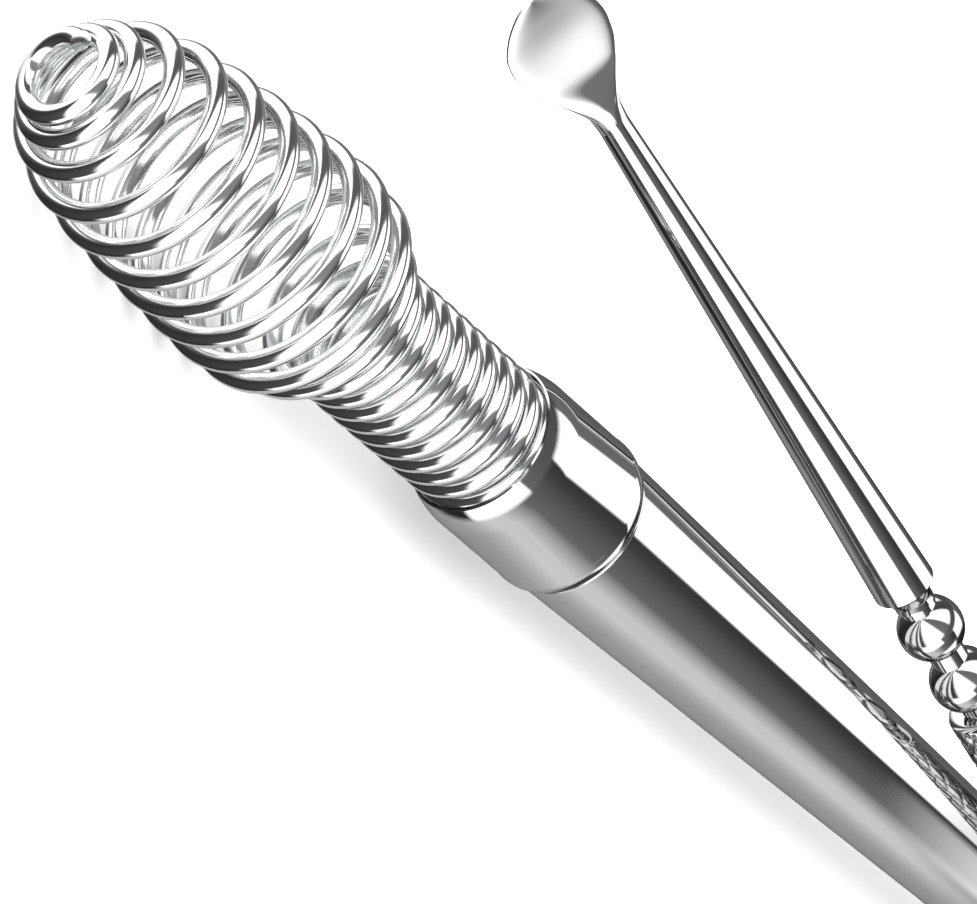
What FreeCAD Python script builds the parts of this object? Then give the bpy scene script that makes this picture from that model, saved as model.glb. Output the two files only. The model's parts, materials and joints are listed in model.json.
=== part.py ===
"""Two chromed ear picks laid one across the other: a spring pick and a spoon pick.

Each pick is made along +X from its working tip and is then laid down on the table plane Z = 0.
"""
import FreeCAD, Part
import math
import os
from FreeCAD import Matrix, Placement, Rotation, Vector

# ---------------------------------------------------------------- driving sizes, millimetres and degrees
wire_diameter = 0.50          # the spring's wire
tip_coil_radius = 0.82        # middle of the wire at the cut end
head_radius = 2.82            # middle of the wire at the fattest turn
neck_radius = 1.70            # middle of the wire in the close turns
tip_pitch = 0.44
head_pitch = 1.22
neck_gap = 0.14               # between the close turns
wire_start_angle = -51.0      # where the cut end lies round the axis

tip_end_turn = 3.0            # turn numbers, counted from the cut end
slack_turn = 5.0
head_joint_turn = 8.0
neck_joint_turn = 11.0
ferrule_turn = 20.5
seat_end_turn = 23.4
fat_turn = 9.0

ferrule_length = 4.2
ferrule_nose = 1.1
ferrule_front_radius = 2.19
ferrule_rear_radius = 2.20
ferrule_edge = 0.10           # bevel at the rear end
seat_clearance = 0.02         # between the seated turns and the metal inside and outside of them
fit_clearance = 0.02          # between a stud or spigot and its hole

barrel_length = 24.5
barrel_front_radius = 2.08
barrel_rear_radius = 1.48
spigot_length = 4.4

stud_radius = 0.55
stud_bite = 5.0               # how far a stud goes into the pieces that it joins
stud_end_gap = 0.25

spring_bead_radius = 1.72
spring_bead_waist = 1.15      # in the groove between two beads
spring_bead_length = 1.7
spring_grip_length = 27.0
spring_grip_radius = 1.80
spring_tail_length = 14.0
spring_tail_radius = 1.20

bowl_length = 3.30
bowl_width = 2.80
bowl_wall = 0.16
bowl_depth = 0.62
bowl_lean = 8.0               # the dip of the bowl against the rod
bowl_roll = 52.0              # the bowl's turn about the rod
blade_neck_length = 1.35      # from inside the bowl's wall to the rod
rod_length = 16.3
rod_front_radius = 0.40
rod_rear_radius = 0.85
cove_length = 0.65
cove_radius = 0.55

spoon_bead_radius = 0.90
spoon_bead_waist = 0.58
spoon_bead_length = 1.95
spoon_grip_length = 28.0
spoon_grip_radius = 0.95
spoon_tail_length = 30.0
spoon_tail_radius = 0.85
spoon_stud_radius = 0.32
spoon_stud_bite = 3.0

end_chamfer = 0.22

cross_angle = 16.4            # between the two picks, seen from above
cross_on_spring = 42.75       # crossing point, from the spring pick's tip
cross_on_spoon = 30.6         # crossing point, from the spoon's tip
laid_gap = 0.05               # between the two picks where one lies on the other

points_per_turn = 20
spring_pick = "spring_pick"
spoon_pick = "spoon_pick"
pieces = []                   # (node name, pick, shape made along +X)


def keep(name, pick, shape):
    """Notes one finished sub-part, still lying along +X."""
    pieces.append((name, pick, shape))
    return shape


# ---------------------------------------------------------------- the wire's path
def through(stations, turn):
    """A smooth value at a turn number, through stations (turn, value) without overshoot."""
    steps = [(b[1] - a[1]) / (b[0] - a[0]) for a, b in zip(stations, stations[1:])]
    slopes = [steps[0]]
    for before, after in zip(steps, steps[1:]):
        same_way = before * after > 0
        slopes.append(2 * before * after / (before + after) if same_way else 0.0)
    slopes.append(steps[-1])
    i = 0
    while i < len(stations) - 2 and turn > stations[i + 1][0]:
        i += 1
    (t0, v0), (t1, v1) = stations[i], stations[i + 1]
    span = t1 - t0
    u = min(1.0, max(0.0, (turn - t0) / span))
    start = (1 + 2 * u) * (1 - u) ** 2 * v0 + u * (1 - u) ** 2 * span * slopes[i]
    end = u * u * (3 - 2 * u) * v1 + u * u * (u - 1) * span * slopes[i + 1]
    return start + end


bowl_depth_radius = (bowl_width ** 2 / 4 + bowl_depth ** 2) / (2 * bowl_depth)
neck_pitch = wire_diameter + neck_gap
swell = head_radius - tip_coil_radius
radius_stations = [
    (0.0, tip_coil_radius),
    (1.0, tip_coil_radius + 0.18 * swell),
    (2.0, tip_coil_radius + 0.37 * swell),
    (3.0, tip_coil_radius + 0.62 * swell),
    (4.0, tip_coil_radius + 0.77 * swell),
    (6.5, tip_coil_radius + 0.92 * swell),
    (fat_turn, head_radius),
    (fat_turn + 1.0, head_radius - 0.16 * (head_radius - neck_radius)),
    (fat_turn + 2.2, neck_radius + 0.28 * (head_radius - neck_radius)),
    (fat_turn + 3.2, neck_radius),
    (seat_end_turn, neck_radius),
]
pitch_stations = [
    (0.0, tip_pitch),
    (1.7, tip_pitch * 1.05),
    (3.0, head_pitch * 0.92),
    (4.0, head_pitch * 1.04),
    (fat_turn - 3.0, head_pitch * 0.97),
    (fat_turn, head_pitch * 0.88),
    (fat_turn + 2.0, head_pitch * 0.78),
    (fat_turn + 3.5, neck_pitch),
    (seat_end_turn, neck_pitch),
]


def place_of(turn):
    """Distance of a turn from the tip, the pitch added up along the wire."""
    count = max(1, int(round(turn * 40)))
    step = turn / count
    middle = sum(through(pitch_stations, (i + 0.5) * step) for i in range(count))
    return wire_diameter / 2 + middle * step


def wire_point(turn):
    """Middle of the wire; the coil is left-handed."""
    angle = math.radians(wire_start_angle + 360.0 * turn)
    radius = through(radius_stations, turn)
    return Vector(place_of(turn), radius * math.cos(angle), -radius * math.sin(angle))


def wire_rate(turn):
    """How fast the wire's middle moves per turn."""
    step = 0.002
    before = max(0.0, turn - step)
    return (wire_point(turn + step) - wire_point(before)) * (1.0 / (turn + step - before))


def turn_facing(angle, near):
    """The turn number next to `near` where the wire stands at this angle round the axis."""
    return near + ((angle - wire_start_angle) / 360.0 - near + 0.5) % 1.0 - 0.5


def coil(first, last):
    """One length of the spring's wire as a solid with flat ends."""
    count = int(round((last - first) * points_per_turn))
    turns = [first + (last - first) * i / count for i in range(count + 1)]
    middle = Part.BSplineCurve()
    middle.interpolate(Points=[wire_point(t) for t in turns], Parameters=turns, Scale=False,
                       InitialTangent=wire_rate(first), FinalTangent=wire_rate(last))
    section = Part.Circle(wire_point(first), wire_rate(first), wire_diameter / 2).toShape()
    return Part.Wire([middle.toShape()]).makePipeShell([Part.Wire([section])], True, True)


# ---------------------------------------------------------------- turned shapes
def turned(profile):
    """A solid of revolution about X from (x, radius) points; an (x, radius, x, radius) entry is an arc
    through its first point to its second."""
    edges = []
    here = Vector(profile[0][0], 0, profile[0][1])
    first = here
    for entry in profile[1:]:
        target = Vector(entry[-2], 0, entry[-1])
        if len(entry) == 4:
            edges.append(Part.Arc(here, Vector(entry[0], 0, entry[1]), target).toShape())
        elif (target - here).Length > 1e-6:
            edges.append(Part.LineSegment(here, target).toShape())
        here = target
    if (first - here).Length > 1e-6:
        edges.append(Part.LineSegment(here, first).toShape())
    return Part.Face(Part.Wire(edges)).revolve(Vector(0, 0, 0), Vector(1, 0, 0), 360)


def drilled(shape, start, length, radius):
    return shape.cut(Part.makeCylinder(radius, length, Vector(start, 0, 0), Vector(1, 0, 0)))


def rod(start, length, radius):
    return Part.makeCylinder(radius, length, Vector(start, 0, 0), Vector(1, 0, 0))


def bead(start, length, radius, waist, hole):
    """A rounded ring on the stud."""
    ring = turned([
        (start, hole),
        (start, waist),
        (start + length / 2, radius, start + length, waist),
        (start + length, hole),
    ])
    return ring


def grip(start, length, radius, hole, hole_depth):
    """A barrel grip with broken edges, drilled from both ends for the studs."""
    body = turned([
        (start, 0.0),
        (start, radius - end_chamfer),
        (start + end_chamfer, radius),
        (start + length - end_chamfer, radius),
        (start + length, radius - end_chamfer),
        (start + length, 0.0),
    ])
    body = drilled(body, start, hole_depth, hole)
    return drilled(body, start + length - hole_depth, hole_depth, hole)


def tail(start, length, radius, hole, hole_depth):
    """A plain tail rod with a domed end."""
    body = turned([
        (start, 0.0),
        (start, radius),
        (start + length, radius),
        (start + length + radius * math.sqrt(0.5), radius * math.sqrt(0.5), start + length + radius, 0.0),
    ])
    return drilled(body, start, hole_depth, hole)


# ---------------------------------------------------------------- the spring pick
slack_turn = turn_facing(180.0, slack_turn)
head_joint_turn = turn_facing(90.0, head_joint_turn)
neck_joint_turn = turn_facing(0.0, neck_joint_turn)
ferrule_start = place_of(ferrule_turn)
ferrule_end = ferrule_start + ferrule_length
barrel_end = ferrule_end + barrel_length


def spring_coils():
    """The one wire in six lengths, cut where the spring bends or gives."""
    cuts = [
        ("spring_tip_coil", 0.0, tip_end_turn),
        ("spring_front_coil", tip_end_turn, slack_turn),
        ("spring_middle_coil", slack_turn, head_joint_turn),
        ("spring_rear_coil", head_joint_turn, neck_joint_turn),
        ("spring_neck_coil", neck_joint_turn, ferrule_turn),
        ("spring_seat_coil", ferrule_turn, seat_end_turn),
    ]
    for name, first, last in cuts:
        keep(name, spring_pick, coil(first, last))


def spring_ferrule():
    """The collar over the seated turns; its rear end closes on the spigot's shoulder."""
    bore = neck_radius + wire_diameter / 2 + seat_clearance
    nose_radius = bore + 0.05
    body = turned([
        (ferrule_start, bore),
        (ferrule_start, nose_radius),
        (ferrule_start + ferrule_nose * 0.35, nose_radius + (ferrule_front_radius - nose_radius) * 0.72,
         ferrule_start + ferrule_nose, ferrule_front_radius),
        (ferrule_end - ferrule_edge, ferrule_rear_radius),
        (ferrule_end, ferrule_rear_radius - ferrule_edge),
        (ferrule_end, bore),
    ])
    keep("spring_ferrule", spring_pick, body)


def spring_barrel():
    """The tapered handle, with the shoulder and spigot that stand inside the ferrule."""
    bore = neck_radius + wire_diameter / 2 + seat_clearance
    spigot = neck_radius - wire_diameter / 2 - seat_clearance
    shoulder = place_of(seat_end_turn) + wire_diameter / 2 + seat_clearance
    spigot_start = max(ferrule_start + 0.2, shoulder - spigot_length)
    body = turned([
        (spigot_start, 0.0),
        (spigot_start, spigot - end_chamfer),
        (spigot_start + end_chamfer, spigot),
        (shoulder, spigot),
        (shoulder, bore - fit_clearance),
        (ferrule_end, bore - fit_clearance),
        (ferrule_end, min(barrel_front_radius, ferrule_rear_radius - ferrule_edge)),
        (barrel_end - end_chamfer, barrel_rear_radius),
        (barrel_end, barrel_rear_radius - end_chamfer),
        (barrel_end, 0.0),
    ])
    hole = stud_radius + fit_clearance
    keep("spring_barrel", spring_pick, drilled(body, barrel_end - stud_bite, stud_bite, hole))


def spring_rear():
    """Beads, grip and tail behind the handle, joined by two studs; returns where the grip and tail begin
    to show."""
    hole = stud_radius + fit_clearance
    x = barrel_end
    front_start = x
    for i in range(2):
        keep("spring_front_bead_%d" % (i + 1), spring_pick,
             bead(x, spring_bead_length, spring_bead_radius, spring_bead_waist, hole))
        x += spring_bead_length
    keep("spring_front_stud", spring_pick,
         rod(front_start - stud_bite + stud_end_gap, x - front_start + 2 * stud_bite - 2 * stud_end_gap,
             stud_radius))
    keep("spring_grip", spring_pick, grip(x, spring_grip_length, spring_grip_radius, hole, stud_bite))
    x += spring_grip_length
    rear_start = x
    for i in range(2):
        keep("spring_rear_bead_%d" % (i + 1), spring_pick,
             bead(x, spring_bead_length, spring_bead_radius, spring_bead_waist, hole))
        x += spring_bead_length
    keep("spring_rear_stud", spring_pick,
         rod(rear_start - stud_bite + stud_end_gap, x - rear_start + 2 * stud_bite - 2 * stud_end_gap,
             stud_radius))
    keep("spring_tail", spring_pick,
         tail(x, spring_tail_length, spring_tail_radius, hole, stud_bite))
    return rear_start, x + spring_tail_length


# ---------------------------------------------------------------- the spoon pick
def bowl_solid(radius, stretch):
    """An egg-shaped body whose low side is the bowl's, leaning down towards the tip."""
    body = Part.makeSphere(radius, Vector(0, 0, bowl_depth_radius)).transformGeometry(stretch)
    body.translate(Vector(bowl_length / 2, 0, -bowl_depth))
    body.rotate(Vector(bowl_length, 0, 0), Vector(0, 1, 0), -bowl_lean)
    return body


def spoon_blade():
    """A thin oval bowl, its mouth to local +Z before the roll, and the neck that meets the rod."""
    stretch = Matrix()
    stretch.scale(bowl_length / bowl_width, 1.0, 1.0)
    inner = bowl_solid(bowl_depth_radius - bowl_wall, stretch)
    above = Part.makeBox(20, 20, 20, Vector(-10 + bowl_length / 2, -10, 0))
    above.rotate(Vector(bowl_length, 0, 0), Vector(0, 1, 0), -bowl_lean)
    bowl = bowl_solid(bowl_depth_radius, stretch).cut(inner).cut(above)
    neck_start = bowl_length + 0.55 - blade_neck_length
    neck = Part.makeCone(rod_front_radius * 0.75, rod_front_radius, blade_neck_length,
                         Vector(neck_start, 0, -0.12), Vector(1, 0, 0))
    blade = bowl.fuse(neck.cut(inner)).removeSplitter()
    blade.rotate(Vector(0, 0, 0), Vector(1, 0, 0), bowl_roll)
    keep("spoon_blade", spoon_pick, blade)
    return neck_start + blade_neck_length


def spoon_rear(start):
    """The flared rod, beads, grip and tail; returns where the tail begins to show."""
    hole = spoon_stud_radius + fit_clearance
    x = start + rod_length
    cove_end = x + cove_length
    body = turned([
        (start, 0.0),
        (start, rod_front_radius),
        (x, rod_rear_radius),
        (x, cove_radius + 0.1),
        (x + cove_length / 2, cove_radius, cove_end, cove_radius + 0.1),
        (cove_end, 0.0),
    ])
    x = cove_end
    keep("spoon_rod", spoon_pick, drilled(body, x - spoon_stud_bite, spoon_stud_bite, hole))
    front_start = x
    for i in range(2):
        keep("spoon_front_bead_%d" % (i + 1), spoon_pick,
             bead(x, spoon_bead_length, spoon_bead_radius, spoon_bead_waist, hole))
        x += spoon_bead_length
    keep("spoon_front_stud", spoon_pick,
         rod(front_start - spoon_stud_bite + stud_end_gap,
             x - front_start + 2 * spoon_stud_bite - 2 * stud_end_gap, spoon_stud_radius))
    keep("spoon_grip", spoon_pick, grip(x, spoon_grip_length, spoon_grip_radius, hole, spoon_stud_bite))
    x += spoon_grip_length
    rear_start = x
    for i in range(2):
        keep("spoon_rear_bead_%d" % (i + 1), spoon_pick,
             bead(x, spoon_bead_length, spoon_bead_radius, spoon_bead_waist, hole))
        x += spoon_bead_length
    keep("spoon_rear_stud", spoon_pick,
         rod(rear_start - spoon_stud_bite + stud_end_gap,
             x - rear_start + 2 * spoon_stud_bite - 2 * stud_end_gap, spoon_stud_radius))
    keep("spoon_tail", spoon_pick,
         tail(x, spoon_tail_length, spoon_tail_radius, hole, spoon_stud_bite))
    return x + spoon_tail_length


# ---------------------------------------------------------------- laying both picks on the table
def lay_spring(grip_end):
    """Rests the spring pick on its fattest turn and on the grip's rear edge."""
    fat_place = place_of(fat_turn)
    fat_radius = head_radius + wire_diameter / 2
    drop = math.asin((fat_radius - spring_grip_radius) / (grip_end - end_chamfer - fat_place))
    height = fat_radius + fat_place * math.sin(drop)
    return Placement(Vector(0, 0, height), Rotation(Vector(0, 1, 0), math.degrees(drop)))


def lay_spoon(tail_end, spring_place):
    """Rests the spoon pick on the spring pick's handle and on the end of its own tail."""
    spring_axis = spring_place.Rotation.multVec(Vector(1, 0, 0))
    crossing = spring_place.multVec(Vector(cross_on_spring, 0, 0))
    share = (cross_on_spring - ferrule_end) / barrel_length
    under_radius = barrel_front_radius + (barrel_rear_radius - barrel_front_radius) * share
    apart = under_radius + spoon_grip_radius + laid_gap
    yaw = Rotation(Vector(0, 0, 1), -cross_angle)
    drop = 0.0
    for _ in range(20):
        turn = yaw.multiply(Rotation(Vector(0, 1, 0), math.degrees(drop)))
        axis = turn.multVec(Vector(1, 0, 0))
        normal = spring_axis.cross(axis).normalize()
        height = crossing.z + apart / abs(normal.z)
        drop = math.asin((height - spoon_tail_radius) / (tail_end - cross_on_spoon))
    start = Vector(crossing.x, crossing.y, height) - axis * cross_on_spoon
    return Placement(start, turn)


spring_coils()
spring_ferrule()
spring_barrel()
spring_grip_end, spring_tail_end = spring_rear()
spoon_tail_end = spoon_rear(spoon_blade())

places = {spring_pick: lay_spring(spring_grip_end)}
places[spoon_pick] = lay_spoon(spoon_tail_end, places[spring_pick])

laid = []
box = FreeCAD.BoundBox()
for name, pick, shape in pieces:
    shape = shape.copy()
    shape.transformShape(places[pick].toMatrix(), True)
    laid.append((name, shape))
    box.add(shape.optimalBoundingBox(False, False))

to_middle = Vector(-(box.XMin + box.XMax) / 2, -(box.YMin + box.YMax) / 2, -box.ZMin)
os.makedirs("parts", exist_ok=True)
for name, shape in laid:
    shape.translate(to_middle)
    shape.exportStep("parts/%s.step" % name)
    print(name, shape.ShapeType, len(shape.Solids), shape.isValid(), round(shape.Volume, 3))

for label, pick, spot in [
    ("spring tip", spring_pick, Vector(0, 0, 0)),
    ("slack joint", spring_pick, Vector(place_of(slack_turn), 0, 0)),
    ("head joint", spring_pick, Vector(place_of(head_joint_turn), 0, 0)),
    ("neck joint", spring_pick, Vector(place_of(neck_joint_turn), 0, 0)),
    ("spring tail middle", spring_pick, Vector(spring_tail_end - spring_tail_length / 2, 0, 0)),
    ("spoon tip", spoon_pick, Vector(0, 0, 0)),
    ("spoon tail middle", spoon_pick, Vector(spoon_tail_end - spoon_tail_length / 2, 0, 0)),
    ("spoon tail end", spoon_pick, Vector(spoon_tail_end, 0, 0)),
]:
    at = places[pick].multVec(spot) + to_middle
    print("place of", label, [round(v, 4) for v in at])
for pick, place in places.items():
    for axis in (Vector(1, 0, 0), Vector(0, 1, 0), Vector(0, 0, 1)):
        print("direction in", pick, [round(v, 6) for v in place.Rotation.multVec(axis)])
print("box", [round(v, 3) for v in (box.XLength, box.YLength, box.ZLength)])
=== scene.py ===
"""Looks of a pair of chromed ear picks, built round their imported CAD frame."""
import json
import math

import bpy
from bpy.props import FloatProperty, FloatVectorProperty, PointerProperty
from mathutils import Euler, Matrix, Vector


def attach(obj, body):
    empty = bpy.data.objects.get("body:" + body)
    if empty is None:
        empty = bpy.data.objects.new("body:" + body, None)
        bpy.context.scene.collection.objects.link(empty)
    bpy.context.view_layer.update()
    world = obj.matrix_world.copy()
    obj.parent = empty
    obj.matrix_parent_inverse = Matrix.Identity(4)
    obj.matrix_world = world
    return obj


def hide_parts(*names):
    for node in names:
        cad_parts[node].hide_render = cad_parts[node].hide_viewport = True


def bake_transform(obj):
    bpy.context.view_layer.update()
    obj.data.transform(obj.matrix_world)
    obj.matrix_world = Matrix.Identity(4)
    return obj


bl_info = {
    "name": "Ear pick pair",
    "version": (1, 0, 0),
    "blender": (4, 5, 0),
    "location": "View3D > Sidebar > Ear picks",
    "description": "Spring pick and spoon pick in mirror-bright steel",
    "category": "Object",
}

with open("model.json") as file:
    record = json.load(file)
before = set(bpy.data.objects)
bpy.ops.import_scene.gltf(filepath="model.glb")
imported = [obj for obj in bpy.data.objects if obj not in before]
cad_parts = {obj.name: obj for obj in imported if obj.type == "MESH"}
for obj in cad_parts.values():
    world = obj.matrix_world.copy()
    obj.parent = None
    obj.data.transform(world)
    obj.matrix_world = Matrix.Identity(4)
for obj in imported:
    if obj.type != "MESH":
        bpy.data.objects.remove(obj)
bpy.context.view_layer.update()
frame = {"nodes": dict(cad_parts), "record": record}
MOUNTS = {mount["name"]: mount for mount in frame["record"]["mounts"]}
JOINTS = {joint["name"]: joint for joint in frame["record"]["behaviour"]["joints"]}

MM = 0.001
NEARLY_ZERO = 1e-9
CRISP_ANGLE = math.radians(42)
FOLDED_BACK = math.radians(160)

WIRE_SIDES = 28
WIRE_POINTS_PER_TURN = 72
PITCH_STEPS_PER_TURN = 40
TURNED_SIDES = 144
GRIP_ROWS, GRIP_COLUMNS = 440, 193
BOWL_ROWS, BOWL_SIDES = 72, 96

# The wire's drawn lengths: name, first and last turn (None: the seated end), its bend and its CAD nodes.
# A bend names the body behind, the body in front, and the turns where a bend would start and end; the wire
# is not bent at them.
WIRE_LENGTHS = (
    ("spring_wire_tip", 0.0, 4.0, ("spring_front", "spring_tip", 3.8, 2.4), ["spring_tip_coil"]),
    ("spring_wire_front", 4.0, 6.6, ("spring_middle", "spring_front", 5.8, 4.3), ["spring_front_coil"]),
    ("spring_wire_middle", 6.6, 9.4, ("spring_rear", "spring_middle", 9.0, 7.0), ["spring_middle_coil"]),
    ("spring_wire_rear", 9.4, 15.0, ("spring_handle", "spring_rear", 13.5, 9.8), ["spring_rear_coil"]),
    ("spring_wire_neck", 15.0, None, None, ["spring_neck_coil", "spring_seat_coil"]),
)

# Collar: depth of its open mouth, its lip, and the soft edge at its rear.
MOUTH_DEPTH, LIP = 1.1 * MM, 0.05 * MM
REAR_EDGE, REAR_EDGE_MIDDLE, REAR_EDGE_FALL, REAR_STEP = 0.55 * MM, 0.16 * MM, 0.035 * MM, 0.02 * MM

# Flared rod: the tiny break of its crisp rear edge.
EDGE_BREAK, EDGE_BREAK_FALL, COVE_RISE = 0.02 * MM, 0.04 * MM, 0.11 * MM

# Light and dark cards round the picks' length, as (place in one turn, brightness).
CARDS_BEHIND = (
    (0.0, 0.10), (0.118, 0.11), (0.128, 1.0), (0.283, 1.0), (0.294, 0.025), (0.33, 0.035), (0.39, 0.07),
    (0.455, 0.10), (0.487, 0.24), (0.54, 0.44), (0.59, 0.46), (0.64, 0.34), (0.69, 0.27), (0.78, 0.24),
    (0.9, 0.08), (1.0, 0.09))
CARDS_BESIDE = (
    (0.0, 0.08), (0.10, 0.05), (0.33, 0.07), (0.41, 0.10), (0.42, 1.0), (0.62, 1.0), (0.64, 0.015),
    (0.80, 0.015), (0.86, 0.30), (0.92, 0.30), (1.0, 0.08))
CARDS_AHEAD = (
    (0.0, 0.9), (0.05, 0.95), (0.07, 0.05), (0.14, 0.04), (0.16, 1.0), (0.262, 1.0), (0.278, 0.10),
    (0.356, 0.13), (0.377, 1.0), (0.53, 0.9), (0.56, 0.04), (0.78, 0.015), (0.85, 0.06), (0.90, 0.9),
    (1.0, 0.9))
CARDS_FAR = ((0.0, 0.02), (0.30, 0.02), (0.34, 0.9), (0.50, 1.0), (0.54, 0.04), (1.0, 0.02))
# Where one ring gives way to the next, by how far a direction points along +X.
AHEAD_TO_BESIDE, FRONT_TO_BACK, BEHIND_TO_FAR = (0.0, 0.14), (0.36, 0.46), (0.80, 0.88)
CARD_STRENGTH = 2.0
DOME_STRENGTH = 2.2

# The stage, measured from the point on the table under the spring pick's tip.
TABLE_REACH = 1.5
LAMP_PLACE, LAMP_SIZE, LAMP_WATTS = (0.05, 0.02, 0.5), 0.5, 0.4
EYE, TARGET = (-0.0815, -0.08148, 0.07), (0.01771, -0.000307, 0.003)
LENS_MM, SENSOR_MM = 221.1, 36.0
CAMERA_ROLL = math.radians(69.36)
CAMERA_NEAR, CAMERA_FAR = 0.01, 10.0


def length(name, millimetres, description):
    """A length property whose default is given in millimetres."""
    return FloatProperty(name=name, description=description, default=millimetres * MM, min=0.0,
                         precision=5, subtype="DISTANCE", unit="LENGTH")


def angle(name, degrees, description):
    return FloatProperty(name=name, description=description, default=math.radians(degrees),
                         subtype="ANGLE", unit="ROTATION")


def colour(name, value, description):
    return FloatVectorProperty(name=name, description=description, default=value, size=3, min=0.0,
                               max=1.0, subtype="COLOR")


def plain(name, value, description):
    return FloatProperty(name=name, description=description, default=value)


# ------------------------------------------------------------------ sizes
class SpringPickSizes(bpy.types.PropertyGroup):
    """Sizes of the pick with the wire head."""
    wire_diameter: length("Wire diameter", 0.50, "Thickness of the spring's wire")
    tip_coil_radius: length("Tip coil radius", 0.82, "Middle of the wire at its cut end")
    head_radius: length("Head radius", 2.82, "Middle of the wire at the fattest turn")
    neck_radius: length("Neck radius", 1.70, "Middle of the wire in the close turns")
    tip_pitch: length("Tip pitch", 0.44, "Step per turn at the tip")
    head_pitch: length("Head pitch", 1.22, "Step per turn in the open head")
    neck_gap: length("Neck gap", 0.14, "Air between the close turns")
    wire_start: angle("Wire start", -51.0, "Where the cut end lies round the axis")
    tip_end_turn: plain("Tip end turn", 3.0, "Last of the tight turns")
    fat_turn: plain("Fattest turn", 9.0, "Turn with the head radius")
    ferrule_turn: plain("Collar turn", 20.5, "Turn where the wire enters the collar")
    seat_end_turn: plain("Seat end turn", 23.4, "Last turn inside the collar")
    ferrule_length: length("Collar length", 4.2, "Length of the collar")
    ferrule_nose: length("Collar nose", 1.1, "Length of the collar's rounded front")
    ferrule_front: length("Collar front radius", 2.19, "Radius behind the nose")
    ferrule_rear: length("Collar rear radius", 2.20, "Radius at the step")
    barrel_length: length("Handle length", 24.5, "Tapered handle behind the collar")
    barrel_front: length("Handle front radius", 2.08, "Radius at the collar")
    barrel_rear: length("Handle rear radius", 1.48, "Radius at the beads")
    bead_radius: length("Bead radius", 1.72, "Radius of the rounded rings")
    bead_waist: length("Bead waist", 1.15, "Radius in the groove between rings")
    bead_length: length("Bead length", 1.7, "Length of one ring")
    grip_length: length("Grip length", 27.0, "Length of the knurled grip")
    grip_radius: length("Grip radius", 1.80, "Radius over the grip's lands")
    tail_length: length("Tail length", 14.0, "Plain tail up to its dome")
    tail_radius: length("Tail radius", 1.20, "Radius of the tail")


class SpoonPickSizes(bpy.types.PropertyGroup):
    """Sizes of the pick with the oval spoon."""
    bowl_length: length("Bowl length", 3.3, "Along the pick")
    bowl_width: length("Bowl width", 2.80, "Across the pick")
    bowl_wall: length("Bowl wall", 0.16, "Thickness of the bowl")
    bowl_depth: length("Bowl depth", 0.025, "Depth under the rim")
    bowl_lean: angle("Bowl lean", 12.5, "Dip of the bowl where it leaves the neck")
    bowl_curl: length("Bowl curl", 0.14, "How far the tip bends back up")
    bowl_roll: angle("Bowl roll", 52.0, "Turn of the bowl about the rod")
    blade_length: length("Blade length", 3.85, "From the tip to the rod")
    rod_length: length("Rod length", 16.3, "Flared rod behind the bowl")
    rod_front: length("Rod front radius", 0.41, "Radius at the bowl")
    rod_rear: length("Rod rear radius", 0.85, "Radius at the crisp rear edge")
    cove_length: length("Cove length", 0.65, "Hollow between rod and beads")
    cove_radius: length("Cove radius", 0.55, "Thinnest place of the hollow")
    bead_radius: length("Bead radius", 0.90, "Radius of the round beads")
    bead_waist: length("Bead waist", 0.50, "Radius in the groove between beads")
    bead_length: length("Bead length", 1.95, "Length of one bead")
    grip_length: length("Grip length", 28.0, "Length of the knurled grip")
    grip_radius: length("Grip radius", 0.95, "Radius over the grip's lands")
    tail_length: length("Tail length", 30.0, "Plain tail up to its dome")
    tail_radius: length("Tail radius", 0.85, "Radius of the tail")


class GripPattern(bpy.types.PropertyGroup):
    """The crossed grooves that are cut into both grips."""
    spacing: length("Groove spacing", 0.62, "Distance between grooves round the grip")
    slant: angle("Groove slant", 33.0, "Angle of the grooves against the pick's length")
    depth: length("Groove depth", 0.07, "Depth of the grooves")
    edge_round: length("Edge round", 0.06, "Rounding of turned edges")


class Finishes(bpy.types.PropertyGroup):
    """Colours of the metals and the floor."""
    steel: colour("Polished steel", (0.64, 0.64, 0.645), "Mirror-bright handles and beads")
    wire: colour("Spring wire", (0.63, 0.63, 0.635), "Bright drawn wire")
    inner: colour("Plain steel", (0.42, 0.42, 0.43), "Turned studs inside")
    floor: colour("Floor", (0.93, 0.93, 0.93), "Pale table")
    roughness: plain("Polish roughness", 0.035, "Roughness of the mirror polish")


# ------------------------------------------------------------------ node trees
class Value:
    """A node socket that can stand in Python sums."""

    def __init__(self, tree, socket):
        self.tree = tree
        self.socket = socket

    def maths(self, operation, *others):
        values = dict(enumerate((self,) + others))
        return self.tree.node("ShaderNodeMath", {"operation": operation}, values)[0]

    def __add__(self, other):
        return self.maths("ADD", other)

    __radd__ = __add__

    def __mul__(self, other):
        return self.maths("MULTIPLY", other)

    __rmul__ = __mul__

    def __sub__(self, other):
        return self.maths("SUBTRACT", other)

    def __rsub__(self, other):
        return (self * -1.0) + other

    def __truediv__(self, other):
        return self.maths("DIVIDE", other)

    def clamp(self):
        return self.maths("MAXIMUM", 0.0).maths("MINIMUM", 1.0)


class Outputs:
    """The output sockets of one node, by name or number."""

    def __init__(self, tree, made):
        self.tree = tree
        self.made = made

    def __getitem__(self, key):
        return Value(self.tree, self.made.outputs[key])


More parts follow.
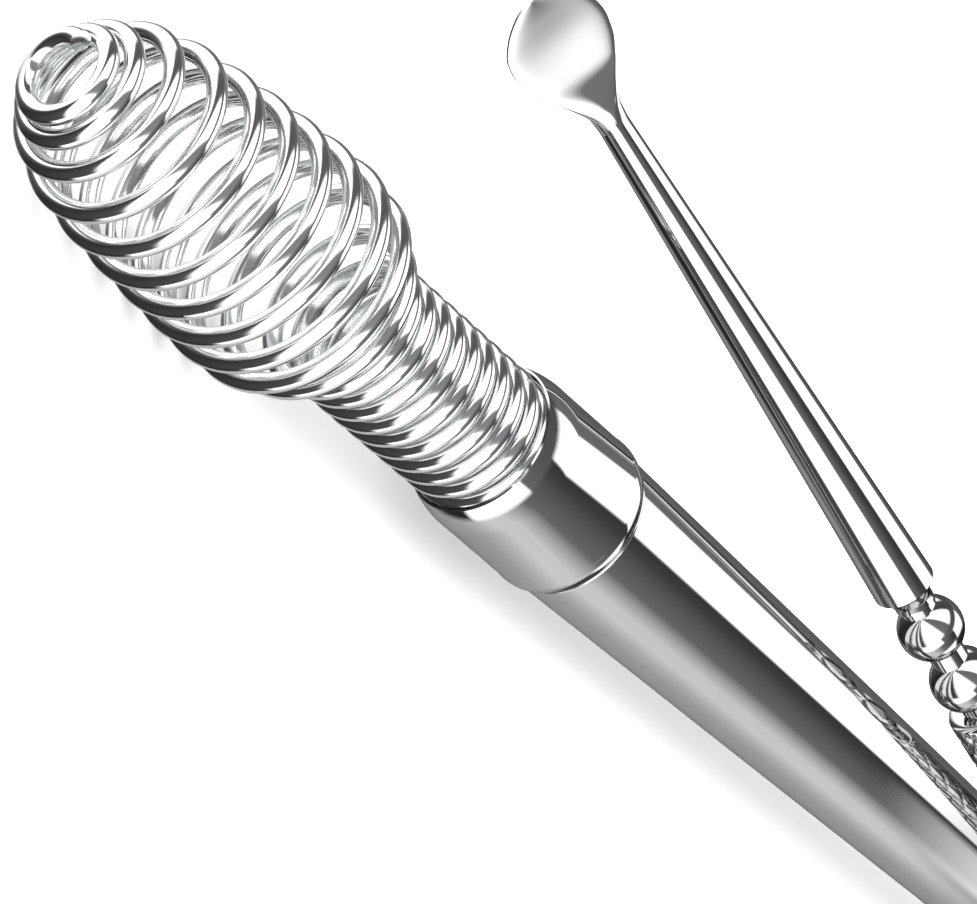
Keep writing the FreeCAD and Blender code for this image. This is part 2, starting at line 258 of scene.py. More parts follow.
class Tree:
    """Adds nodes to a shader, world or geometry tree."""

    def __init__(self, node_tree):
        self.node_tree = node_tree

    def node(self, kind, settings=None, values=None):
        """A node of this type: its settings first, then the values or links of its sockets."""
        made = self.node_tree.nodes.new(kind)
        for key, setting in (settings or {}).items():
            if key == "stops":
                self.set_stops(made.color_ramp, setting)
            else:
                setattr(made, key, setting)
        for key, value in (values or {}).items():
            if isinstance(value, Value):
                self.node_tree.links.new(value.socket, made.inputs[key])
            else:
                made.inputs[key].default_value = value
        return Outputs(self, made)

    @staticmethod
    def set_stops(ramp, stops):
        """Grey stops of a colour ramp, as (place, brightness)."""
        while len(ramp.elements) < len(stops):
            ramp.elements.new(1.0)
        for element, (place, grey) in zip(ramp.elements, stops):
            element.position = place
            element.color = (grey, grey, grey, 1.0)


def new_material(name):
    """An empty node material and its tree."""
    material = bpy.data.materials.new(name)
    material.use_nodes = True
    material.node_tree.nodes.clear()
    return material, Tree(material.node_tree)


def bright_metal(name, tint, rim, roughness, along, marks):
    """Polished metal whose mirroring at grazing angles is toned by rim, with smears and turning marks."""
    material, tree = new_material(name)
    place = tree.node("ShaderNodeTexCoord")["Object"]
    smear = tree.node("ShaderNodeTexNoise", {"noise_dimensions": "3D"},
                      {"Vector": place, "Scale": 420.0, "Detail": 3.0, "Roughness": 0.55})["Fac"]
    axis = tree.node("ShaderNodeVectorMath", {"operation": "DOT_PRODUCT"}, {0: place, 1: tuple(along)})
    lines = tree.node("ShaderNodeTexNoise", {"noise_dimensions": "1D"},
                      {"W": axis["Value"], "Scale": 26000.0, "Detail": 2.0})["Fac"]
    polish = roughness + (smear - 0.5).maths("MAXIMUM", 0.0) * (roughness * 2.2)
    shade = 1.0 - (smear - 0.45).maths("MAXIMUM", 0.0) * 0.10
    toned = tree.node("ShaderNodeMix", {"data_type": "RGBA", "blend_type": "MULTIPLY"},
                      {0: 1.0, 6: (*tint, 1.0)})
    tree.node_tree.links.new(shade.socket, toned.made.inputs[7])
    bump = tree.node("ShaderNodeBump", None,
                     {"Strength": marks, "Distance": 0.000002, "Height": lines})["Normal"]
    surface = tree.node("ShaderNodeBsdfPrincipled", None,
                        {"Base Color": toned[2], "Metallic": 1.0, "Roughness": polish, "Normal": bump,
                         "Specular Tint": (rim, rim, rim, 1.0)})
    tree.node("ShaderNodeOutputMaterial", None, {"Surface": surface["BSDF"]})
    return material


def floor_material(tint):
    """Matt pale table top with a barely visible tooth."""
    material, tree = new_material("pale_table")
    place = tree.node("ShaderNodeTexCoord")["Object"]
    tooth = tree.node("ShaderNodeTexNoise", None, {"Vector": place, "Scale": 900.0, "Detail": 2.0})["Fac"]
    bump = tree.node("ShaderNodeBump", None,
                     {"Strength": 0.05, "Distance": 0.00002, "Height": tooth})["Normal"]
    surface = tree.node("ShaderNodeBsdfPrincipled", None,
                        {"Base Color": (*tint, 1.0), "Roughness": 0.8, "Specular IOR Level": 0.2,
                         "Normal": bump})
    tree.node("ShaderNodeOutputMaterial", None, {"Surface": surface["BSDF"]})
    return material


# ------------------------------------------------------------------ where the picks lie
class Lay:
    """One pick's own axes: x runs from its tip to its tail."""

    def __init__(self, tail_middle, x_axis, upright, distance):
        self.x = Vector(x_axis).normalized()
        self.y = Vector(upright).cross(self.x).normalized()
        self.z = self.x.cross(self.y)
        self.tip = Vector(tail_middle) - self.x * distance

    def at(self, x, y=0.0, z=0.0):
        return self.tip + self.x * x + self.y * y + self.z * z


def spring_places(sizes):
    """Distances from the spring pick's tip to the start of each turned piece."""
    wire = SpringWire(sizes)
    ferrule = wire.place_of(sizes.ferrule_turn)
    barrel = ferrule + sizes.ferrule_length
    beads = barrel + sizes.barrel_length
    grip = beads + 2 * sizes.bead_length
    rear_beads = grip + sizes.grip_length
    tail = rear_beads + 2 * sizes.bead_length
    return {"ferrule": ferrule, "barrel": barrel, "beads": beads, "grip": grip,
            "rear_beads": rear_beads, "tail": tail}


def spring_lay(sizes):
    mount = MOUNTS["spring_tail"]
    distance = spring_places(sizes)["tail"] + sizes.tail_length / 2
    return Lay(mount["pos_m"], mount["axis"], JOINTS["head_bend"]["axis"], distance)


def spoon_places(sizes):
    """Distances from the spoon's tip to the start of each turned piece."""
    rod = sizes.blade_length
    cove = rod + sizes.rod_length
    beads = cove + sizes.cove_length
    grip = beads + 2 * sizes.bead_length
    rear_beads = grip + sizes.grip_length
    tail = rear_beads + 2 * sizes.bead_length
    return {"rod": rod, "cove": cove, "beads": beads, "grip": grip, "rear_beads": rear_beads, "tail": tail}


def spoon_lay(sizes):
    mount = MOUNTS["spoon_tail"]
    distance = spoon_places(sizes)["tail"] + sizes.tail_length / 2
    return Lay(mount["pos_m"], mount["axis"], (0.0, 0.0, 1.0), distance)


# ------------------------------------------------------------------ the spring's wire
def through(stations, turn):
    """A smooth value at a turn number, through stations (turn, value) without overshoot."""
    steps = [(b[1] - a[1]) / (b[0] - a[0]) for a, b in zip(stations, stations[1:])]
    slopes = [steps[0]]
    for before, after in zip(steps, steps[1:]):
        slopes.append(2 * before * after / (before + after) if before * after > 0 else 0.0)
    slopes.append(steps[-1])
    i = 0
    while i < len(stations) - 2 and turn > stations[i + 1][0]:
        i += 1
    (t0, v0), (t1, v1) = stations[i], stations[i + 1]
    span = t1 - t0
    u = min(1.0, max(0.0, (turn - t0) / span))
    start = (1 + 2 * u) * (1 - u) ** 2 * v0 + u * (1 - u) ** 2 * span * slopes[i]
    end = u * u * (3 - 2 * u) * v1 + u * u * (u - 1) * span * slopes[i + 1]
    return start + end


class SpringWire:
    """The path of the left-handed coil, by turn number from its cut end."""

    def __init__(self, sizes):
        self.sizes = sizes
        swell = sizes.head_radius - sizes.tip_coil_radius
        shoulder = sizes.head_radius - sizes.neck_radius
        neck_pitch = sizes.wire_diameter + sizes.neck_gap
        self.radii = [
            (0.0, sizes.tip_coil_radius),
            (1.0, sizes.tip_coil_radius + 0.18 * swell),
            (2.0, sizes.tip_coil_radius + 0.37 * swell),
            (3.0, sizes.tip_coil_radius + 0.62 * swell),
            (4.0, sizes.tip_coil_radius + 0.77 * swell),
            (6.5, sizes.tip_coil_radius + 0.92 * swell),
            (sizes.fat_turn, sizes.head_radius),
            (sizes.fat_turn + 1.0, sizes.head_radius - 0.16 * shoulder),
            (sizes.fat_turn + 2.2, sizes.neck_radius + 0.28 * shoulder),
            (sizes.fat_turn + 3.2, sizes.neck_radius),
            (sizes.seat_end_turn, sizes.neck_radius),
        ]
        self.pitches = [
            (0.0, sizes.tip_pitch),
            (1.7, sizes.tip_pitch * 1.05),
            (3.0, sizes.head_pitch * 0.92),
            (4.0, sizes.head_pitch * 1.04),
            (sizes.fat_turn - 3.0, sizes.head_pitch * 0.97),
            (sizes.fat_turn, sizes.head_pitch * 0.88),
            (sizes.fat_turn + 2.0, sizes.head_pitch * 0.78),
            (sizes.fat_turn + 3.5, neck_pitch),
            (sizes.seat_end_turn, neck_pitch),
        ]

    def place_of(self, turn):
        """Distance of a turn from the tip, the pitch added up along the wire."""
        count = max(1, round(turn * PITCH_STEPS_PER_TURN))
        step = turn / count
        total = sum(through(self.pitches, (i + 0.5) * step) for i in range(count))
        return self.sizes.wire_diameter / 2 + total * step

    def points(self, lay, first, last):
        """Points on the wire's middle, from the first turn to the last."""
        count = max(2, round((last - first) * WIRE_POINTS_PER_TURN))
        step = (last - first) / count
        place = self.place_of(first)
        spots = []
        for i in range(count + 1):
            turn = first + i * step
            if i:
                place += through(self.pitches, turn - step / 2) * step
            swing = self.sizes.wire_start + 2 * math.pi * turn
            radius = through(self.radii, turn)
            spots.append(lay.at(place, radius * math.cos(swing), -radius * math.sin(swing)))
        return spots


def wire_tree():
    """A geometry tree that draws round wire along a curve and closes its ends."""
    group = bpy.data.node_groups.new("drawn_wire", "GeometryNodeTree")
    face = group.interface
    face.new_socket("Geometry", in_out="INPUT", socket_type="NodeSocketGeometry")
    face.new_socket("Wire Radius", in_out="INPUT", socket_type="NodeSocketFloat")
    face.new_socket("Sides", in_out="INPUT", socket_type="NodeSocketInt")
    face.new_socket("Finish", in_out="INPUT", socket_type="NodeSocketMaterial")
    face.new_socket("Geometry", in_out="OUTPUT", socket_type="NodeSocketGeometry")
    tree = Tree(group)
    given = tree.node("NodeGroupInput")
    section = tree.node("GeometryNodeCurvePrimitiveCircle", {"mode": "RADIUS"},
                        {"Resolution": given["Sides"], "Radius": given["Wire Radius"]})
    drawn = tree.node("GeometryNodeCurveToMesh", None,
                      {"Curve": given["Geometry"], "Profile Curve": section["Curve"], "Fill Caps": True})
    whole = tree.node("GeometryNodeRealizeInstances", None, {"Geometry": drawn["Mesh"]})
    painted = tree.node("GeometryNodeSetMaterial", None,
                        {"Geometry": whole["Geometry"], "Material": given["Finish"]})
    tree.node("NodeGroupOutput", None, {"Geometry": painted["Geometry"]})
    return group


def grip_tree(rows, columns):
    """A geometry tree that makes a closed rod along X with crossed grooves cut round it."""
    group = bpy.data.node_groups.new("knurled_grip", "GeometryNodeTree")
    face = group.interface
    for name, kind in (("Geometry", "Geometry"), ("Length", "Float"), ("Radius", "Float"),
                       ("Groove Depth", "Float"), ("Grooves", "Float"), ("Twist", "Float"),
                       ("Edge Round", "Float"), ("Finish", "Material")):
        face.new_socket(name, in_out="INPUT", socket_type="NodeSocket" + kind)
    face.new_socket("Geometry", in_out="OUTPUT", socket_type="NodeSocketGeometry")
    tree = Tree(group)
    given = tree.node("NodeGroupInput")
    grid = tree.node("GeometryNodeMeshGrid", None,
                     {"Size X": 1.0, "Size Y": 1.0, "Vertices X": rows, "Vertices Y": columns})
    spot = tree.node("ShaderNodeSeparateXYZ", None, {0: tree.node("GeometryNodeInputPosition")[0]})
    row = (spot["X"] + 0.5) * (rows - 1.0)
    swing = (spot["Y"] + 0.5) * (2 * math.pi)
    along = ((row - 1.0) / (rows - 3.0)).clamp()
    place = along * given["Length"]
    open_row = row.clamp() * ((rows - 1.0) - row).clamp()
    from_end = place.maths("MINIMUM", given["Length"] - place)
    near_end = (1.0 - from_end / given["Edge Round"]).clamp()
    rounding = given["Edge Round"] * (1.0 - (1.0 - near_end * near_end).maths("MAXIMUM", 0.0).maths("SQRT"))
    leaning = along * given["Twist"] * given["Grooves"] * (2 * math.pi)
    across = swing * given["Grooves"]
    one = ((across + leaning) * 0.5).maths("SINE").maths("ABSOLUTE")
    other = ((across - leaning) * 0.5).maths("SINE").maths("ABSOLUTE")
    valley = 1.0 - (one.maths("MINIMUM", other) * 2.2).clamp()
    fade = ((from_end / given["Edge Round"]) - 1.0).clamp()
    radius = (given["Radius"] - given["Groove Depth"] * valley * fade - rounding) * open_row
    moved = tree.node("ShaderNodeCombineXYZ", None,
                      {"X": place, "Y": radius * swing.maths("COSINE"),
                       "Z": radius * swing.maths("SINE")})
    shaped = tree.node("GeometryNodeSetPosition", None,
                       {"Geometry": grid["Mesh"], "Position": moved[0]})
    closed = tree.node("GeometryNodeMergeByDistance", None,
                       {"Geometry": shaped["Geometry"], "Distance": 0.000001})
    whole = tree.node("GeometryNodeRealizeInstances", None, {"Geometry": closed["Geometry"]})
    painted = tree.node("GeometryNodeSetMaterial", None,
                        {"Geometry": whole["Geometry"], "Material": given["Finish"]})
    tree.node("NodeGroupOutput", None, {"Geometry": painted["Geometry"]})
    return group


def grown(source, group, values, name):
    """The plain mesh object that a geometry tree makes from a source object."""
    modifier = source.modifiers.new(group.name, "NODES")
    modifier.node_group = group
    sockets = {s.name: s.identifier for s in group.interface.items_tree if s.in_out == "INPUT"}
    for key, value in values.items():
        modifier[sockets[key]] = value
    bpy.context.view_layer.update()
    evaluated = source.evaluated_get(bpy.context.evaluated_depsgraph_get())
    mesh = bpy.data.meshes.new_from_object(evaluated)
    source.modifiers.remove(modifier)
    bpy.data.objects.remove(source)
    return shown(name, mesh, values["Finish"])


def shown(name, mesh, material):
    """An object for a finished mesh, smooth shaded but for its crisp edges."""
    mesh.materials.clear()
    mesh.materials.append(material)
    mesh.polygons.foreach_set("use_smooth", [True] * len(mesh.polygons))
    mesh.polygons.foreach_set("material_index", [0] * len(mesh.polygons))
    mesh.set_sharp_from_angle(angle=CRISP_ANGLE)
    piece = bpy.data.objects.new(name, mesh)
    bpy.context.collection.objects.link(piece)
    return piece


# ------------------------------------------------------------------ turned pieces
def arc(start, middle, end, count=18):
    """Points on the circle through three (x, radius) points, without the first."""
    (ax, ay), (bx, by), (cx, cy) = start, middle, end
    d = 2 * (ax * (by - cy) + bx * (cy - ay) + cx * (ay - by))
    ux = ((ax * ax + ay * ay) * (by - cy) + (bx * bx + by * by) * (cy - ay)
          + (cx * cx + cy * cy) * (ay - by)) / d
    uy = ((ax * ax + ay * ay) * (cx - bx) + (bx * bx + by * by) * (ax - cx)
          + (cx * cx + cy * cy) * (bx - ax)) / d
    radius = math.hypot(ax - ux, ay - uy)
    a0, a1, a2 = (math.atan2(y - uy, x - ux) for x, y in (start, middle, end))
    turn = (a2 - a0) % (2 * math.pi)
    if (a1 - a0) % (2 * math.pi) > turn:
        turn -= 2 * math.pi
    return [(ux + radius * math.cos(a0 + turn * i / count), uy + radius * math.sin(a0 + turn * i / count))
            for i in range(1, count + 1)]


def soften(profile, size, steps=5):
    """Rounds the corners of an open (x, radius) profile."""
    result = [profile[0]]
    for before, corner, after in zip(profile, profile[1:], profile[2:]):
        p, c, n = Vector(before), Vector(corner), Vector(after)
        one, two = p - c, n - c
        if min(one.length, two.length) < NEARLY_ZERO or one.angle(two) > FOLDED_BACK:
            result.append(corner)
            continue
        reach = min(size, 0.45 * one.length, 0.45 * two.length)
        start, end = c + one.normalized() * reach, c + two.normalized() * reach
        for i in range(steps + 1):
            u = i / steps
            spot = start * (1 - u) ** 2 + c * (2 * u * (1 - u)) + end * u ** 2
            result.append((spot.x, spot.y))
    result.append(profile[-1])
    return result


def skin(name, vertices, loops, count):
    """A closed mesh over loops of points; a loop of one point closes an end."""
    faces = []
    for one, two in zip(loops, loops[1:]):
        for i in range(count):
            a, b = one[i % len(one)], one[(i + 1) % len(one)]
            c, d = two[(i + 1) % len(two)], two[i % len(two)]
            corner = [a, d, c, b]
            faces.append([v for k, v in enumerate(corner) if v not in corner[:k]])
    mesh = bpy.data.meshes.new(name)
    mesh.from_pydata(vertices, [], [f for f in faces if len(f) > 2])
    mesh.update()
    return mesh


def turned_mesh(name, profile, lay):
    """A mesh turned about the pick's axis; a point on the axis closes the end."""
    vertices, loops = [], []
    for x, radius in profile:
        if radius < NEARLY_ZERO:
            loops.append([len(vertices)])
            vertices.append(lay.at(x))
            continue
        loops.append(list(range(len(vertices), len(vertices) + TURNED_SIDES)))
        for i in range(TURNED_SIDES):
            swing = 2 * math.pi * i / TURNED_SIDES
            vertices.append(lay.at(x, radius * math.cos(swing), radius * math.sin(swing)))
    return skin(name, vertices, loops, TURNED_SIDES)


def turned(name, profile, lay, material, body, nodes):
    """A turned piece that rides on a body in place of its CAD nodes."""
    settle(shown(name, turned_mesh(name, profile, lay), material), body, nodes)


def settle(piece, body, nodes):
    """Lets a piece ride on a body, in place of CAD nodes."""
    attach(piece, body)
    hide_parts(*nodes)


def bead_profile(start, size, radius, waist):
    """A round bead between two short spacers, closed at both ends."""
    half = min(0.499 * size, math.sqrt(radius * radius - waist * waist))
    middle = start + size / 2
    bulge = arc((middle - half, waist), (middle, radius), (middle + half, waist), 40)
    return ([(start, 0.0), (start, waist), (middle - half, waist)] + bulge
            + [(start + size, waist), (start + size, 0.0)])


def bead_rings(pick, lay, places, sizes, material, body):
    """Two round beads in front of the grip and two behind it."""
    for group, first in (("front", places["beads"]), ("rear", places["rear_beads"])):
        for i in range(2):
            profile = bead_profile(first + i * sizes.bead_length, sizes.bead_length,
                                   sizes.bead_radius, sizes.bead_waist)
            name = "%s_%s_bead_%d" % (pick, group, i + 1)
            turned(name + "_ring", profile, lay, material, body, [name])


def tail_profile(start, size, radius, edge):
    """A plain tail with a soft front edge and a round dome behind."""
    end = start + size
    dome = arc((end, radius), (end + radius * math.sqrt(0.5), radius * math.sqrt(0.5)), (end + radius, 0.0))
    return soften([(start, 0.0), (start, radius), (end, radius)], edge) + dome[:-1] + [(end + radius, 0.0)]


def knurled_grip(name, lay, start, sizes, pattern, material, body, node):
    """One grip with a diamond pattern, as its own closed mesh."""
    source = bpy.data.objects.new(name + "_source", bpy.data.meshes.new(name + "_source"))
    bpy.context.collection.objects.link(source)
    girth = 2 * math.pi * sizes.grip_radius
    values = {"Length": sizes.grip_length, "Radius": sizes.grip_radius, "Groove Depth": pattern.depth,
              "Grooves": float(round(girth / pattern.spacing)),
              "Twist": sizes.grip_length * math.tan(pattern.slant) / girth,
              "Edge Round": pattern.edge_round * 3, "Finish": material}
    piece = grown(source, grip_tree(GRIP_ROWS, GRIP_COLUMNS), values, name)
    turn = Matrix((lay.x, lay.y, lay.z)).transposed().to_4x4()
    piece.data.transform(Matrix.Translation(lay.at(start)) @ turn)
    piece.data.update()
    settle(piece, body, [node])


# ------------------------------------------------------------------ materials by finish
def finish(name):
    """The material of a finish, made once."""
    if name in bpy.data.materials:
        return bpy.data.materials[name]
    colours = bpy.context.scene.ear_pick_finishes
    spring_axis = MOUNTS["spring_tail"]["axis"]
    spoon_axis = MOUNTS["spoon_tail"]["axis"]
    polish = colours.roughness
    kinds = {
        "spring_wire": (colours.wire, 0.12, polish, spring_axis, 0.10),
        "spring_steel": (colours.steel, 0.75, polish, spring_axis, 0.12),
        "spoon_steel": (colours.steel, 0.35, polish, spoon_axis, 0.12),
        "bowl_steel": (colours.steel, 0.35, polish, spoon_axis, 0.0),
        "plain_steel": (colours.inner, 0.8, 0.28, spring_axis, 0.6),
    }
    return bright_metal(name, *kinds[name])


# ------------------------------------------------------------------ operators
class EARPICK_OT_spring_wire(bpy.types.Operator):
    """Winds the spring head's wire; only its seated length rides on the handle, the other lengths stay
    fixed where they are made
    """
    bl_idname = "ear_pick.spring_wire"
    bl_label = "Spring wire"

    def execute(self, context):
        sizes = context.scene.ear_pick_spring
        lay = spring_lay(sizes)
        wire = SpringWire(sizes)
        group = wire_tree()
        for name, first, last, bend, nodes in WIRE_LENGTHS:
            curve = bpy.data.curves.new(name, "CURVE")
            curve.dimensions = "3D"
            points = wire.points(lay, first, last or sizes.seat_end_turn)
            spline = curve.splines.new("POLY")
            spline.points.add(len(points) - 1)
            for point, spot in zip(spline.points, points):
                point.co = (*spot, 1.0)
            source = bpy.data.objects.new(name + "_path", curve)
            context.collection.objects.link(source)
            piece = grown(source, group, {"Wire Radius": sizes.wire_diameter / 2, "Sides": WIRE_SIDES,
                                          "Finish": finish("spring_wire")}, name)
            if bend:
                one, two, start, end = bend
                lay.at(wire.place_of(start))
                lay.at(wire.place_of(end))
                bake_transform(piece)
            else:
                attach(piece, "spring_handle")
            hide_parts(*nodes)
        return {"FINISHED"}


class EARPICK_OT_spring_handle(bpy.types.Operator):
    """Turns the collar, handle, beads, grip and tail of the spring pick"""
    bl_idname = "ear_pick.spring_handle"
    bl_label = "Spring pick handle"

    def execute(self, context):
        sizes = context.scene.ear_pick_spring
        pattern = context.scene.ear_pick_grip
        lay = spring_lay(sizes)
        places = spring_places(sizes)
        steel = finish("spring_steel")
        edge = pattern.edge_round
        front, rear = places["ferrule"], places["barrel"]
        turned("spring_collar", self.collar_profile(sizes, front, rear), lay, steel, "spring_handle",
               ["spring_ferrule"])
        outline = [(rear, 0.0), (rear, sizes.barrel_front), (places["beads"], sizes.barrel_rear),
                   (places["beads"], 0.0)]
        turned("spring_tapered_handle", soften(outline, edge), lay, steel, "spring_handle",
               ["spring_barrel"])
        bead_rings("spring", lay, places, sizes, steel, "spring_handle")
        knurled_grip("spring_knurled_grip", lay, places["grip"], sizes, pattern, steel, "spring_handle",
                     "spring_grip")
        profile = tail_profile(places["tail"], sizes.tail_length, sizes.tail_radius, edge)
        turned("spring_plain_tail", profile, lay, steel, "spring_handle", ["spring_tail"])
        return {"FINISHED"}

    @staticmethod
    def collar_profile(sizes, front, rear):
        """A tube with an open mouth, a rounded nose and a soft rear edge."""
        bore = sizes.neck_radius + sizes.wire_diameter / 2 + 0.01 * MM
        rise = sizes.ferrule_front - bore
        nose_start = (front + 0.02 * sizes.ferrule_nose, bore + 0.30 * rise)
        nose_middle = (front + 0.40 * sizes.ferrule_nose, bore + 0.80 * rise)
        nose_end = (front + sizes.ferrule_nose, sizes.ferrule_front)
        edge_start = (rear - REAR_EDGE, sizes.ferrule_rear)
        edge_middle = (rear - REAR_EDGE_MIDDLE, sizes.ferrule_rear - REAR_EDGE_FALL)
        edge_end = (rear, sizes.barrel_front - REAR_STEP)
        mouth = [(front + MOUTH_DEPTH, 0.0), (front + MOUTH_DEPTH, bore), (front + LIP, bore)]
        nose = [(front, bore + 0.1 * rise), nose_start] + arc(nose_start, nose_middle, nose_end)
        edge = [edge_start] + arc(edge_start, edge_middle, edge_end, 16)
        return mouth + nose + edge + [(rear, 0.0)]


class EARPICK_OT_spoon_handle(bpy.types.Operator):
    """Turns the flared rod, beads, grip and tail of the spoon pick"""
    bl_idname = "ear_pick.spoon_handle"
    bl_label = "Spoon pick handle"

    def execute(self, context):
        sizes = context.scene.ear_pick_spoon
        pattern = context.scene.ear_pick_grip
        lay = spoon_lay(sizes)
        places = spoon_places(sizes)
        steel = finish("spoon_steel")
        edge = pattern.edge_round
        cove, beads = places["cove"], places["beads"]
        broken = (cove + EDGE_BREAK, sizes.rod_rear - EDGE_BREAK_FALL)
        outline = [(places["rod"], 0.0), (places["rod"], sizes.rod_front), (cove, sizes.rod_rear), broken]
        outline += arc(broken, (cove + 0.35 * sizes.cove_length, sizes.cove_radius + COVE_RISE),
                       (cove + 0.72 * sizes.cove_length, sizes.cove_radius))
        outline += [(beads, sizes.cove_radius), (beads, 0.0)]
        turned("spoon_flared_rod", outline, lay, steel, "spoon_pick", ["spoon_rod"])
        bead_rings("spoon", lay, places, sizes, steel, "spoon_pick")
        knurled_grip("spoon_knurled_grip", lay, places["grip"], sizes, pattern, steel, "spoon_pick",
                     "spoon_grip")
        profile = tail_profile(places["tail"], sizes.tail_length, sizes.tail_radius, edge)
        turned("spoon_plain_tail", profile, lay, steel, "spoon_pick", ["spoon_tail"])
        return {"FINISHED"}


class EARPICK_OT_spoon_bowl(bpy.types.Operator):
    """Beats the thin oval bowl and its neck"""
    bl_idname = "ear_pick.spoon_bowl"
    bl_label = "Spoon bowl"

    def execute(self, context):
        sizes = context.scene.ear_pick_spoon
        lay = spoon_lay(sizes)
        piece = shown("spoon_bowl", bowl_mesh(sizes, lay), finish("bowl_steel"))
        settle(piece, "spoon_pick", ["spoon_blade"])
        return {"FINISHED"}


def bowl_mesh(sizes, lay):
    """A loop of points for each place along the blade: thin and dished in the bowl, round at the neck."""
    half = sizes.bowl_width / 2
    total = sizes.blade_length
    widths = [(0.0, 0.0), (0.015, 0.22), (0.06, 0.47), (0.14, 0.75), (0.25, 0.96), (0.35, 1.0),
              (0.48, 0.93), (0.62, 0.73), (0.76, 0.48), (0.88, 0.32), (1.0, sizes.rod_front / half)]
    depths = [(0.0, 0.0), (0.15, 0.5), (0.36, 1.0), (0.60, 0.75), (0.80, 0.0), (1.0, 0.0)]
    neck_start, row_crowding, bowl_edge = 0.58, 1.6, 0.35
    rolls = Euler((sizes.bowl_roll, 0.0, 0.0)).to_matrix()
    vertices, loops = [lay.at(*(rolls @ bowl_spot(sizes, 0.0, 0.0, 0.0)))], [[0]]
    for i in range(1, BOWL_ROWS + 1):
        u = (i / BOWL_ROWS) ** row_crowding
        wide = half * through(widths, u)
        deep = sizes.bowl_depth * through(depths, u)
        share = max(0.0, (u - neck_start) / (1 - neck_start))
        neck = share * share * (3 - 2 * share)
        thick = min(wide, sizes.bowl_wall / 2 * (1 - neck) + sizes.rod_front * neck)
        power = bowl_edge + (1 - bowl_edge) * neck
        loops.append(list(range(len(vertices), len(vertices) + BOWL_SIDES)))
        for k in range(BOWL_SIDES):
            swing = 2 * math.pi * k / BOWL_SIDES
            across, side = math.cos(swing), math.sin(swing)
            lift = thick * math.copysign(abs(side) ** power, side) - deep * (1 - across * across)
            vertices.append(lay.at(*(rolls @ bowl_spot(sizes, total * u, wide * across, lift))))
    loops.append([len(vertices)])
    vertices.append(lay.at(*(rolls @ bowl_spot(sizes, total, 0.0, 0.0))))
    return skin("spoon_bowl", vertices, loops, BOWL_SIDES)


def bowl_spot(sizes, x, y, z):
    """Leans the front of the blade down from its neck, less and less towards the tip."""
    ahead = max(0.0, sizes.bowl_length - x)
    bend = sizes.bowl_curl * (ahead / sizes.bowl_length) ** 2
    return Vector((x, y, z - math.tan(sizes.bowl_lean) * ahead + bend))


class EARPICK_OT_inner_parts(bpy.types.Operator):
    """Gives the studs inside both handles their plain steel"""
    bl_idname = "ear_pick.inner_parts"
    bl_label = "Inner studs"

    def execute(self, context):
        for name in ("spring_front_stud", "spring_rear_stud", "spoon_front_stud", "spoon_rear_stud"):
            node = frame["nodes"][name]
            node.data.materials.clear()
            node.data.materials.append(finish("plain_steel"))
        return {"FINISHED"}


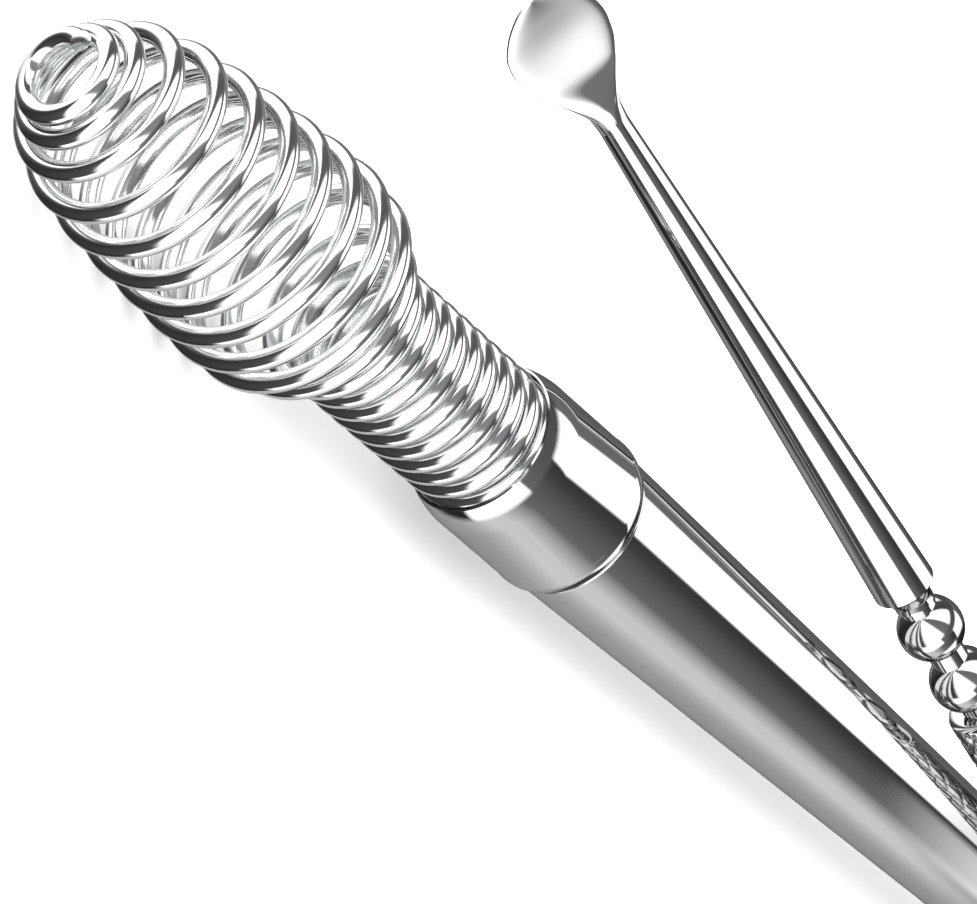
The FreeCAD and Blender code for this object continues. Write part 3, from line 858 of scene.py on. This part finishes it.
class EARPICK_OT_stage(bpy.types.Operator):
    """Lays the pale table, the soft studio light and the camera"""
    bl_idname = "ear_pick.stage"
    bl_label = "Stage"

    def execute(self, context):
        lay = spring_lay(context.scene.ear_pick_spring)
        foot = Vector((lay.tip.x, lay.tip.y, 0.0))
        self.lay_floor(context)
        self.set_world(context)
        self.set_light(context, foot)
        self.set_camera(context, foot)
        context.scene.view_settings.view_transform = "Standard"
        return {"FINISHED"}

    def lay_floor(self, context):
        mesh = bpy.data.meshes.new("table_top")
        corners = [(x * TABLE_REACH, y * TABLE_REACH, 0) for x, y in ((-1, -1), (1, -1), (1, 1), (-1, 1))]
        mesh.from_pydata(corners, [], [(0, 1, 2, 3)])
        floor = bpy.data.objects.new("table_top", mesh)
        mesh.materials.append(floor_material(context.scene.ear_pick_finishes.floor))
        context.collection.objects.link(floor)
        floor.visible_glossy = False

    def set_world(self, context):
        """Soft boxes and dark cards that run along the picks, and a white surround."""
        world = bpy.data.worlds.new("studio")
        context.scene.world = world
        world.use_nodes = True
        world.node_tree.nodes.clear()
        tree = Tree(world.node_tree)
        spot = tree.node("ShaderNodeSeparateXYZ", None, {0: tree.node("ShaderNodeTexCoord")["Generated"]})
        turn = (spot["Z"].maths("ARCTAN2", spot["Y"]) * (0.5 / math.pi)).maths("FRACT")
        behind, beside, ahead, far = (self.ring(tree, turn, stops) for stops in
                                      (CARDS_BEHIND, CARDS_BESIDE, CARDS_AHEAD, CARDS_FAR))
        front = self.between(tree, spot["X"], AHEAD_TO_BESIDE, ahead, beside)
        back = self.between(tree, spot["X"], BEHIND_TO_FAR, behind, far)
        cards = self.between(tree, spot["X"], FRONT_TO_BACK, front, back)
        studio = tree.node("ShaderNodeBackground", None, {"Color": cards, "Strength": CARD_STRENGTH})
        dome = tree.node("ShaderNodeBackground", None,
                         {"Color": (1.0, 1.0, 1.0, 1.0), "Strength": DOME_STRENGTH})
        mirrored = tree.node("ShaderNodeLightPath")["Is Glossy Ray"]
        mixed = tree.node("ShaderNodeMixShader", None,
                          {0: mirrored, 1: dome["Background"], 2: studio["Background"]})
        tree.node("ShaderNodeOutputWorld", None, {"Surface": mixed[0]})

    @staticmethod
    def ring(tree, turn, stops):
        """Cards of several brightnesses round the picks' length."""
        return tree.node("ShaderNodeValToRGB", {"stops": stops}, {"Fac": turn})["Color"]

    @staticmethod
    def between(tree, place, reach, one, two):
        """Goes from one ring of cards to another over a reach of places along the picks."""
        start, end = reach
        share = ((place - start) / (end - start)).clamp()
        return tree.node("ShaderNodeMix", {"data_type": "RGBA"}, {0: share, 6: one, 7: two})[2]

    def set_light(self, context, foot):
        lamp = bpy.data.lights.new("soft_top_light", "AREA")
        lamp.shape = "DISK"
        lamp.size = LAMP_SIZE
        lamp.energy = LAMP_WATTS
        holder = bpy.data.objects.new("soft_top_light", lamp)
        holder.location = foot + Vector(LAMP_PLACE)
        holder.visible_glossy = False
        context.collection.objects.link(holder)

    def set_camera(self, context, foot):
        """A long lens above the tips, rolled so that the picks point up to the left."""
        camera = bpy.data.cameras.new("camera")
        camera.sensor_width = SENSOR_MM
        camera.lens = LENS_MM
        camera.clip_start = CAMERA_NEAR
        camera.clip_end = CAMERA_FAR
        holder = bpy.data.objects.new("camera", camera)
        eye = foot + Vector(EYE)
        target = foot + Vector(TARGET)
        look = (target - eye).to_track_quat("-Z", "Y").to_matrix()
        roll = Euler((0.0, 0.0, CAMERA_ROLL)).to_matrix()
        holder.matrix_world = Matrix.Translation(eye) @ (look @ roll).to_4x4()
        context.collection.objects.link(holder)
        context.scene.camera = holder


class EARPICK_PT_panel(bpy.types.Panel):
    """Lists the steps that build the pair"""
    bl_idname = "EARPICK_PT_panel"
    bl_label = "Ear picks"
    bl_space_type = "VIEW_3D"
    bl_region_type = "UI"
    bl_category = "Ear picks"

    def draw(self, context):
        for step in STEPS:
            self.layout.operator(step.bl_idname)
        for group in GROUPS:
            box = self.layout.box()
            settings = getattr(context.scene, group)
            for key in settings.bl_rna.properties.keys():
                if key not in ("rna_type", "name"):
                    box.prop(settings, key)


STEPS = (EARPICK_OT_spring_wire, EARPICK_OT_spring_handle, EARPICK_OT_spoon_handle,
         EARPICK_OT_spoon_bowl, EARPICK_OT_inner_parts, EARPICK_OT_stage)
GROUPS = {"ear_pick_spring": SpringPickSizes, "ear_pick_spoon": SpoonPickSizes,
          "ear_pick_grip": GripPattern, "ear_pick_finishes": Finishes}
CLASSES = (*GROUPS.values(), *STEPS, EARPICK_PT_panel)


def register():
    for item in CLASSES:
        bpy.utils.register_class(item)
    for name, group in GROUPS.items():
        setattr(bpy.types.Scene, name, PointerProperty(type=group))


def unregister():
    for name in GROUPS:
        delattr(bpy.types.Scene, name)
    for item in reversed(CLASSES):
        bpy.utils.unregister_class(item)


def main():
    register()
    bpy.ops.ear_pick.spring_wire()
    bpy.ops.ear_pick.spring_handle()
    bpy.ops.ear_pick.spoon_handle()
    bpy.ops.ear_pick.spoon_bowl()
    bpy.ops.ear_pick.inner_parts()
    bpy.ops.ear_pick.stage()


if __name__ == "__main__":
    main()
